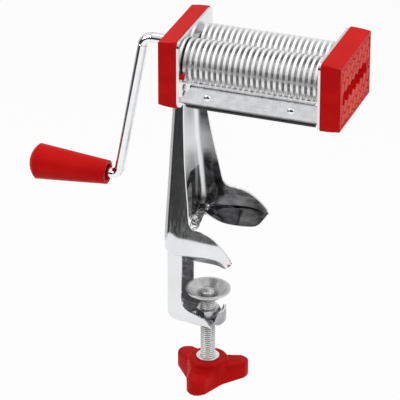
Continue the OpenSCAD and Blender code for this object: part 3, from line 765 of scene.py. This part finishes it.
def side_row(z, edge_x):
    """Points of half the column at a height, from the middle of the web to the free edge."""
    web_n, bend_n, flange_n = 20, 7, 18
    w = half_width(z, WEB_X)
    k = math.sqrt(1 + FLARE ** 2)
    cx = WEB_X + BEND_R
    cy = w + FLARE * BEND_R - BEND_R * k
    fold = min(max((FOLD_Z - z) / (FOLD_Z - EAR_EDGE[-1][1]), 0.0), 1.0)
    row = []
    ends = []

    def add(x, y, start, end, free):
        """A point above the rim that starts at a place and ends at another."""
        reach = min(3.0, 0.45 * math.dist(start, end))
        reach += (0.3 - reach) * free ** 6
        follow = FOLD_Z - fold * (FOLD_Z - start[2] - reach)
        height = z if z >= FOLD_Z else follow + (z - follow) * free ** 8
        row.append((x, y, height))
        ends.append((start, end, reach))

    for i in range(web_n):
        y = cy * i / web_n
        bottom = shoulder_z(y)
        start = (web_at(y, bottom), y, bottom)
        ripple = 0.35 * math.sin(y * 1.45) * ease((y - 13) / 3)
        lip = (-12.2, min(y, 28.6), start[2] - 1.8 + ripple)
        down = (start[0] + 0.25, y, -1.5)
        end = blend(down, lip, ease((y - 11.5) / 3.0))
        add(web_at(y, z), y, start, end, 0.0)
    for i in range(bend_n):
        a = math.radians(180) + (math.radians(90) + math.atan(FLARE) - math.radians(180)) * i / bend_n
        x = cx + BEND_R * math.cos(a)
        y = cy + BEND_R * math.sin(a)
        start = (x, y, read_table(CREASE, x)[0])
        end = blend((-12.2, 28.6, 4.9), (-11.4, 28.3, 4.4), i / bend_n)
        add(x, y, start, end, 0.0)
    x0 = cx - BEND_R * FLARE / k
    for i in range(flange_n + 1):
        free = i / flange_n
        x = x0 + (edge_x - x0) * free
        y = half_width(z, x) + FLARE * (x - WEB_X)
        start = (x, y, read_table(CREASE, x)[0])
        end = (x, *read_table(RIM, x))
        add(x, y, start, end, free)
    return row, ends


def column_sheet():
    """Column, flanges and the two ears as one sheet, from its outer surface."""
    rows = []
    line = cut_corners(EAR_EDGE, 3)
    for x, z in line:
        row, ends = side_row(z, x)
        rows.append(row)
    last = rows[-1]
    for t in (0.2, 0.4, 0.6, 0.8, 1.0):
        row = []
        for p, (start, end, reach) in zip(last, ends):
            turn = blend(start, end, reach / max(math.dist(start, end), 1e-6))
            row.append(blend(blend(p, start, t), blend(start, turn, t), t))
        rows.append(row)
    for t in (0.2, 0.4, 0.6, 0.8, 1.0):
        rows.append([blend(p, end, t) for p, (start, end, reach) in zip(rows[len(line) + 4], ends)])
    whole = [[(x, -y, z) for x, y, z in reversed(row[1:])] + row for row in rows]
    return thicken(grid_mesh("column", whole), (0, 0, 60))


# Free edge of the jaw's side plate (X, Z) round its inner corner, and along the lower jaw
JAW_CORNER = [
    (JAW_EDGE_X, JAW_CORNER_Z), (-13.8, -41.3), (-12.8, -43.9), (-10.9, -45.9), (JAW_FLOOR_X, -47.0),
]
JAW_LIP = [(JAW_FLOOR_X, -47.0), (-1.6, -48.6), (2.0, -50.5), (4.6, -52.7), (6.0, -54.0), (6.4, -54.4)]


def settle(point):
    """Lets the rim of the lower jaw run down towards its nose; the floor under the nut stays level."""
    x, y, z = point
    rim = ease((abs(y) - LEVEL_HALF) / SAG_SOFT)
    front = ease((x - NOSE_X) / SAG_SOFT)
    run = min(max((x - SAG_X) / SAG_RUN, 0.0), 1.0)
    return x, y, z - JAW_SAG * run * max(rim, front)


def jaw_sheet():
    """Spine, bottom bend and floor of the clamp with both side plates."""
    cz = JAW_BOTTOM + JAW_ROUND
    cx = SPINE_X + JAW_ROUND
    stations = []
    for i in range(12):
        z = JAW_TOP + (JAW_CORNER_Z - JAW_TOP) * i / 11
        stations.append(((SPINE_X, z), (1, 0), (JAW_EDGE_X, z)))
    corner = cut_corners(JAW_CORNER, 2)
    path = [((SPINE_X, JAW_CORNER_Z + (cz - JAW_CORNER_Z) * i / 4), (1, 0)) for i in range(1, 5)]
    for i in range(1, 9):
        a = math.radians(180 + 90 * i / 8)
        c, d = math.cos(a), math.sin(a)
        path.append(((cx + JAW_ROUND * c, cz + JAW_ROUND * d), (-c, -d)))
    path += [((cx + (JAW_FLOOR_X - cx) * i / 4, JAW_BOTTOM), (0, 1)) for i in range(1, 5)]
    for i, (base, normal) in enumerate(path):
        s = (i + 1) / len(path) * (len(corner) - 1)
        k = min(int(s), len(corner) - 2)
        stations.append((base, normal, blend(corner[k], corner[k + 1], s - k)))
    for x, z in cut_corners(JAW_LIP, 2)[1:]:
        stations.append(((x, JAW_BOTTOM), (0, 1), (x, z)))
    rows = []
    for base, normal, edge in stations:
        height = math.dist(base, edge)
        bend = min(JAW_BEND, 0.7 * height)
        row = []
        for i in range(6):
            row.append((base[0], (JAW_HALF - bend) * i / 6, base[1]))
        for i in range(6):
            a = math.radians(90 * i / 5)
            out = bend * (1 - math.cos(a))
            y = JAW_HALF - bend + bend * math.sin(a)
            row.append((base[0] + normal[0] * out, y, base[1] + normal[1] * out))
        foot = (base[0] + normal[0] * bend, base[1] + normal[1] * bend)
        for i in range(1, 6):
            x, z = blend(foot, edge, i / 5)
            row.append((x, JAW_HALF, z))
        mirrored = [(x, -y, z) for x, y, z in reversed(row[1:])]
        rows.append([settle(p) for p in mirrored + row])
    screw_hole = Matrix.Translation((0, 0, JAW_BOTTOM * MM))
    spine_hole = Matrix.Translation((SPINE_X * MM, 0, SPINE_HOLE_Z * MM))
    spine_hole = spine_hole @ Matrix.Rotation(math.pi / 2, 4, "Y")
    holes = [rod_cutter(SCREW_HOLE_R, 8, screw_hole), rod_cutter(SPINE_HOLE_R, 8, spine_hole)]
    return thicken(grid_mesh("jaw", rows), (0, 0, -20), holes)


def nose_sheet():
    """Round nose of the lower jaw with its lip turned up."""
    rows = []
    for i in range(41):
        degrees = NOSE_END * (i / 20 - 1)
        a = math.radians(degrees)
        lift = max(NOSE_LOW, NOSE_LIFT * ease((NOSE_END + 1 - abs(degrees)) / NOSE_RISE))
        turn = min(NOSE_BEND, 0.6 * lift)
        line = []
        first = NOSE_X / math.cos(a)
        for j in range(4):
            line.append((first + (NOSE_R - turn - first) * j / 4, 0.0))
        for j in range(6):
            b = math.radians(90 * j / 5)
            line.append((NOSE_R - turn + turn * math.sin(b), turn * (1 - math.cos(b))))
        for j in range(1, 4):
            line.append((NOSE_R, turn + (lift - turn) * j / 3))
        rows.append([settle((r * math.cos(a), r * math.sin(a), JAW_BOTTOM + h)) for r, h in line])
    return thicken(grid_mesh("nose", rows), (0, 0, -45))


def foot_mesh(side):
    """Foot that is riveted to the left end plate."""
    bm = bmesh.new()
    x, y, z = FOOT_PLACE
    place = Matrix.Translation((x * MM, side * y * MM, z * MM))
    size = Matrix.Diagonal((*[v * MM for v in FOOT_SIZE], 1))
    bmesh.ops.create_cube(bm, size=1.0, matrix=place @ size)
    mesh = bpy.data.meshes.new("foot")
    bm.to_mesh(mesh)
    bm.free()
    return mesh


def stand():
    """The whole stand as one piece."""
    mesh = join("stand_sheet", [column_sheet(), jaw_sheet(), nose_sheet(), foot_mesh(1), foot_mesh(-1)])
    looks = ("plated_sheet", "plated_inside")
    finish_piece("stand_sheet", mesh, "frame", "plated_sheet", ("clamp_stand",), 45, looks)


def turned(point, degrees):
    """A point turned round the screw's axis."""
    x, y, z = point
    a = math.radians(degrees)
    return x * math.cos(a) - y * math.sin(a), x * math.sin(a) + y * math.cos(a), z


def knob_ring(bm, z, valley, drop):
    """Outline of the knob at a height: lobe ends that lie lower by a drop, and valleys between them."""
    lobe = [
        (LOBE_TIP - LOBE_ROUND * u * u, LOBE_HALF * u, z - drop)
        for u in (-1, -0.75, -0.4, 0, 0.4, 0.75, 1)
    ]
    middle = turned((valley, 0.0, z), 60)
    after = turned(lobe[0], 120)
    line = lobe + [blend(lobe[-1], middle, k / 8) for k in range(1, 9)]
    line += [blend(middle, after, k / 8) for k in range(1, 8)]
    return [bm.verts.new(Vector(turned(p, turn)) * MM) for turn in (30, 150, 270) for p in line]


def knob():
    """The knob with three lobes, ridges that run in to the hub, all edges softened."""
    bm = bmesh.new()
    bmesh.ops.create_cone(
        bm, cap_ends=True, segments=96, radius1=HUB_R_LOW * MM, radius2=HUB_R_TOP * MM, depth=HUB_DEPTH * MM,
        matrix=Matrix.Translation((0, 0, (HUB_Z - HUB_DEPTH / 2) * MM)),
    )
    low = knob_ring(bm, LOBE_LOW_Z, VALLEY_LOW, 0.0)
    top = knob_ring(bm, LOBE_TOP_Z, VALLEY_TOP, LOBE_DROP)
    hub = bm.verts.new((0, 0, (LOBE_TOP_Z + 0.2) * MM))
    bm.faces.new(list(reversed(low)))
    n = len(low)
    for i in range(n):
        j = (i + 1) % n
        bm.faces.new((top[i], top[j], hub))
        bm.faces.new((low[i], low[j], top[j], top[i]))
    bmesh.ops.recalc_face_normals(bm, faces=bm.faces)
    mesh = bpy.data.meshes.new("knob")
    bm.to_mesh(mesh)
    bm.free()
    obj = bpy.data.objects.new("knob", mesh)
    SCENE.collection.objects.link(obj)
    remesh = obj.modifiers.new("remesh", "REMESH")
    remesh.mode = "VOXEL"
    remesh.voxel_size = 0.0005
    relax = obj.modifiers.new("relax", "SMOOTH")
    relax.factor = 0.5
    relax.iterations = 26
    finish_piece("soft_knob", bake(obj), "clamp_screw", "red_plastic", ("tri_knob",), 80, ("red_knob",))


def rivet_heads():
    """Domed heads of the rail's rivets, front and back."""
    bm = bmesh.new()
    size = Matrix.Diagonal((*RIVET_HEAD, 1))
    for side in (-1, 1):
        for x in RIVET_X:
            cap = bmesh.ops.create_uvsphere(bm, u_segments=32, v_segments=16, radius=1.0)
            place = Matrix.Translation((x * MM, side * RAIL_FACE * MM, RIVET_Z * MM))
            bmesh.ops.transform(bm, matrix=place @ size, verts=cap["verts"])
    mesh = bpy.data.meshes.new("rivet_heads")
    bm.to_mesh(mesh)
    bm.free()
    finish_piece("rivet_heads", mesh, "frame", "steel", (), 60, ("plated_rod",))


def clip_polygon(points, y0, y1, z0, z1):
    """The part of a convex outline that is inside a rectangle."""
    for axis, limit, sign in ((0, y0, 1), (0, y1, -1), (1, z0, 1), (1, z1, -1)):
        kept = []
        for i, p in enumerate(points):
            q = points[(i + 1) % len(points)]
            dp = sign * (p[axis] - limit)
            dq = sign * (q[axis] - limit)
            if dp >= 0:
                kept.append(p)
            if dp * dq < 0:
                kept.append(blend(p, q, dp / (dp - dq)))
        points = kept
        if len(points) < 3:
            return []
    return points


def raised(bm, outline, x0, height, inset):
    """A low block over an outline in Y and Z, with sloping sides."""
    n = len(outline)
    my = sum(p[0] for p in outline) / n
    mz = sum(p[1] for p in outline) / n
    size = min(math.dist(p, (my, mz)) for p in outline)
    if size < 2.2 * inset:
        return
    foot = [bm.verts.new((x0 * MM, y * MM, z * MM)) for y, z in outline]
    head = []
    for y, z in outline:
        far = math.dist((y, z), (my, mz))
        t = inset * 1.3 / far
        y, z = blend((y, z), (my, mz), t)
        head.append(bm.verts.new(((x0 + height) * MM, y * MM, z * MM)))
    bm.faces.new(head)
    bm.faces.new(list(reversed(foot)))
    for i in range(n):
        j = (i + 1) % n
        bm.faces.new((foot[i], foot[j], head[j], head[i]))


def relief(name, face_x, side, hole=None):
    """Slanting bricks on a cap's outer face, round the rod's hole or a bare plaque across the middle."""
    x0 = face_x - side * BRICK_SINK
    mid_z = (HEAD_BOTTOM + HEAD_TOP) / 2
    y1 = HALF_DEPTH - CAP_DRAFT_Y - BRICK_MARGIN
    z1 = (HEAD_TOP - HEAD_BOTTOM) / 2 - CAP_DRAFT_Z - BRICK_MARGIN
    tilt = math.radians(BRICK_TILT)
    along = (math.sin(tilt), math.cos(tilt))
    across = (math.cos(tilt), -math.sin(tilt))
    bm = bmesh.new()
    for i in range(-20, 21):
        for j in range(-14, 15):
            a = (j + (0.5 if i % 2 else 0.0)) * BRICK_LONG
            b = i * BRICK_WIDE
            y = along[0] * a + across[0] * b
            z = along[1] * a + across[1] * b
            if hole and math.dist((y, z + mid_z), hole) < HOLE_CLEAR:
                continue
            off_plaque = abs(z + PLAQUE_DROP - PLAQUE_SLOPE * y)
            if not hole and abs(y) < PLAQUE_CLEAR[0] and off_plaque < PLAQUE_CLEAR[1]:
                continue
            half_l = (BRICK_LONG - BRICK_GAP) / 2
            half_w = (BRICK_WIDE - BRICK_GAP) / 2
            corners = []
            for u, v in ((-1, -1), (-1, 1), (1, 1), (1, -1)):
                corners.append((
                    y + along[0] * half_l * u + across[0] * half_w * v,
                    z + along[1] * half_l * u + across[1] * half_w * v,
                ))
            outline = clip_polygon(corners, -y1, y1, -z1, z1)
            if outline:
                raised(bm, [(p[0], p[1] + mid_z) for p in outline], x0, side * BRICK_RISE, BRICK_INSET)
    bricks = len(bm.faces)
    if not hole:
        plaque = []
        for u, v, first in ((1, 1, 0), (-1, 1, 90), (-1, -1, 180), (1, -1, 270)):
            for k in range(5):
                a = math.radians(first + 90 * k / 4)
                y = PLAQUE_HALF[0] * u + PLAQUE_ROUND * math.cos(a)
                middle = mid_z - PLAQUE_DROP + PLAQUE_SLOPE * y
                plaque.append((y, middle + PLAQUE_HALF[1] * v + PLAQUE_ROUND * math.sin(a)))
        raised(bm, plaque, x0, side * PLAQUE_RISE, PLAQUE_INSET)
    # Plaque faces take the darker copy of the red, painted as shade; bricks take the lighter copy, painted as
    # sheen
    bm.faces.ensure_lookup_table()
    for face in bm.faces[bricks:]:
        face.material_index = 1
    bmesh.ops.recalc_face_normals(bm, faces=bm.faces)
    mesh = bpy.data.meshes.new(name)
    bm.to_mesh(mesh)
    bm.free()
    finish_piece(name, mesh, "frame", "red_plastic", (), 25, ("red_bricks_painted_sheen", "red_plaque_painted_shade"))


def add_world():
    """A pale studio with a dark band in front, near the horizon, that the bright metal shows."""
    world = bpy.data.worlds.new("studio")
    SCENE.world = world
    world.use_nodes = True
    tree = world.node_tree
    tree.nodes.clear()
    out = tree.nodes.new("ShaderNodeOutputWorld")
    back = tree.nodes.new("ShaderNodeBackground")
    tree.links.new(back.outputs[0], out.inputs[0])
    coords = tree.nodes.new("ShaderNodeTexCoord")
    split = tree.nodes.new("ShaderNodeSeparateXYZ")
    tree.links.new(coords.outputs["Generated"], split.inputs[0])

    def ramp(value, low, high, stops):
        """Greys over a value, from stops of (share of the range, grey)."""
        span = tree.nodes.new("ShaderNodeMapRange")
        span.inputs["From Min"].default_value = low
        span.inputs["From Max"].default_value = high
        tree.links.new(value, span.inputs["Value"])
        n = tree.nodes.new("ShaderNodeValToRGB")
        elements = n.color_ramp.elements
        while len(elements) > 1:
            elements.remove(elements[-1])
        elements[0].position = stops[0][0]
        elements[0].color = (*grey(stops[0][1]), 1)
        for position, shade in stops[1:]:
            elements.new(position).color = (*grey(shade), 1)
        tree.links.new(span.outputs[0], n.inputs[0])
        return n.outputs[0]

    front = ramp(split.outputs["Z"], -1, 1, [
        (0.0, 0.05), (0.33, 0.05), (0.66, 0.05), (0.74, 0.8),
        (0.79, 0.9), (0.81, 0.3), (0.83, 0.9), (1.0, 1.0),
    ])
    rear = ramp(split.outputs["Z"], -1, 1, [(0.0, 0.3), (0.48, 0.6), (0.6, 0.95), (1.0, 1.0)])
    side = ramp(split.outputs["Y"], -1, 1, [(0.40, 0.0), (0.60, 1.0)])
    mix = tree.nodes.new("ShaderNodeMix")
    mix.data_type = "RGBA"
    tree.links.new(side, mix.inputs[0])
    tree.links.new(front, mix.inputs[6])
    tree.links.new(rear, mix.inputs[7])
    tree.links.new(mix.outputs[2], back.inputs["Color"])
    back.inputs["Strength"].default_value = 0.8


def add_floor():
    """A pale floor that stays white for the camera and in the metal, and keeps a faint shadow."""
    mesh = bpy.data.meshes.new("floor")
    corners = [(FLOOR_X[i], FLOOR_Y[j], FLOOR_Z) for i, j in ((0, 0), (1, 0), (1, 1), (0, 1))]
    mesh.from_pydata(corners, [], [(0, 1, 2, 3)])
    floor = bpy.data.objects.new("floor", mesh)
    SCENE.collection.objects.link(floor)
    material = bpy.data.materials.new("floor")
    material.use_nodes = True
    tree = material.node_tree
    tree.nodes.clear()
    out = tree.nodes.new("ShaderNodeOutputMaterial")
    diffuse = tree.nodes.new("ShaderNodeBsdfDiffuse")
    diffuse.inputs["Color"].default_value = (0.8, 0.8, 0.8, 1)
    glow = tree.nodes.new("ShaderNodeEmission")
    glow.inputs["Strength"].default_value = 1.0
    path = tree.nodes.new("ShaderNodeLightPath")
    seen = tree.nodes.new("ShaderNodeMath")
    seen.operation = "MAXIMUM"
    tree.links.new(path.outputs["Is Camera Ray"], seen.inputs[0])
    tree.links.new(path.outputs["Is Glossy Ray"], seen.inputs[1])
    share = tree.nodes.new("ShaderNodeMath")
    share.operation = "MULTIPLY"
    share.inputs[1].default_value = 0.9
    tree.links.new(seen.outputs[0], share.inputs[0])
    mix = tree.nodes.new("ShaderNodeMixShader")
    tree.links.new(share.outputs[0], mix.inputs[0])
    tree.links.new(diffuse.outputs[0], mix.inputs[1])
    tree.links.new(glow.outputs[0], mix.inputs[2])
    tree.links.new(mix.outputs[0], out.inputs[0])
    mesh.materials.append(material)


def add_light(name, place, size, power):
    """A rectangular lamp that points at LIGHT_AIM."""
    data = bpy.data.lights.new(name, "AREA")
    data.shape = "RECTANGLE"
    data.size, data.size_y = size
    data.energy = power
    lamp = bpy.data.objects.new(name, data)
    SCENE.collection.objects.link(lamp)
    lamp.location = place
    lamp.rotation_euler = (Vector(LIGHT_AIM) - Vector(place)).to_track_quat("-Z", "Y").to_euler()


SCENE.view_settings.view_transform = "Standard"
add_camera()
dress_nodes()
clamp_thread()
stand()
knob()
rivet_heads()
relief("relief_right", RIGHT_FACE_X, 1)
relief("relief_left", LEFT_FACE_X, -1, (AXIS_Y, AXIS_Z))
add_world()
add_floor()
add_light("top_box", (0.1, 0.15, 1.1), (1.0, 1.0), 3.0)
add_light("left_box", (-0.9, -0.7, 0.7), (0.7, 0.9), 6.0)
add_light("right_box", (1.0, -0.4, 0.5), (0.5, 0.9), 4.0)
